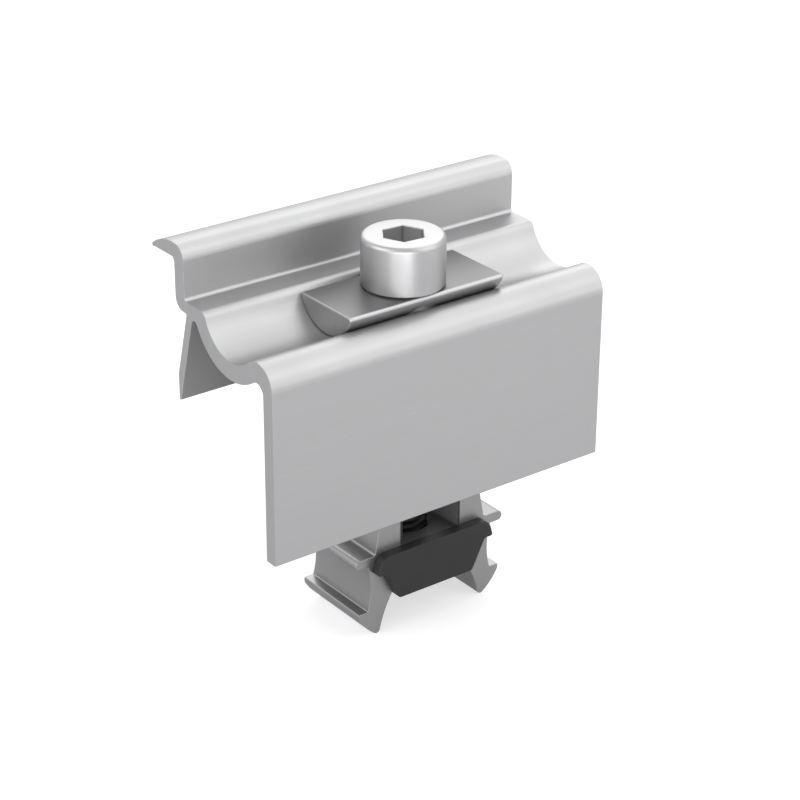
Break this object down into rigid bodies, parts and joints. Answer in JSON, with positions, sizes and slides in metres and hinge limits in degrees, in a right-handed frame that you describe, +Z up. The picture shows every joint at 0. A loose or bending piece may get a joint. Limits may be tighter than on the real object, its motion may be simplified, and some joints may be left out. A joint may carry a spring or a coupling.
{
  "type": "solar end clamp",
  "caption": "Solar module end clamp: a hooked aluminium extrusion drawn down by a socket head screw onto a connector that clicks into a mounting rail.",
  "frame": {"origin": "on the screw's axis, in the plane of the underside of the connector's flanges, which rest on top of the rail", "axes": "+Z up along the screw, +Y towards the solar module and along the rail, +X along the clamp's extrusion"},
  "size_m": [0.0624, 0.0313, 0.0635],
  "materials": {
    "clamp_profile": "satin, as extruded, with sawn ends",
    "half_round_washer": "satin, as extruded",
    "clamp_screw": "smooth stainless steel, half gloss",
    "rail_connector": "satin, as extruded, with sawn ends",
    "connector_clip": "black, moulded, finely grained"
  },
  "bodies": {
    "connector": {"rail_connector": "rail_connector", "connector_clip": "connector_clip"},
    "washer": {"half_round_washer": "half_round_washer"},
    "screw": {"clamp_screw": "clamp_screw"},
    "clamp": {"clamp_profile": "clamp_profile"}
  },
  "joints": [
    {"name": "clamp_travel", "type": "slide", "parent": "connector", "child": "washer", "axis": [0, 0, 1], "range_m": [-0.006, 0.005]},
    {"name": "screw_turn", "type": "hinge", "parent": "washer", "child": "screw", "pos_m": [0, 0, 0.042], "axis": [0, 0, 1], "range_deg": [-1733, 1445]},
    {"name": "clamp_tilt", "type": "hinge", "parent": "washer", "child": "clamp", "pos_m": [0, 0, 0.04425], "axis": [1, 0, 0], "range_deg": [-6, 0.5]}
  ],
  "couplings": [
    {"joint": "screw_turn", "follows": "clamp_travel", "rad_per_m": 5026.5}
  ]
}
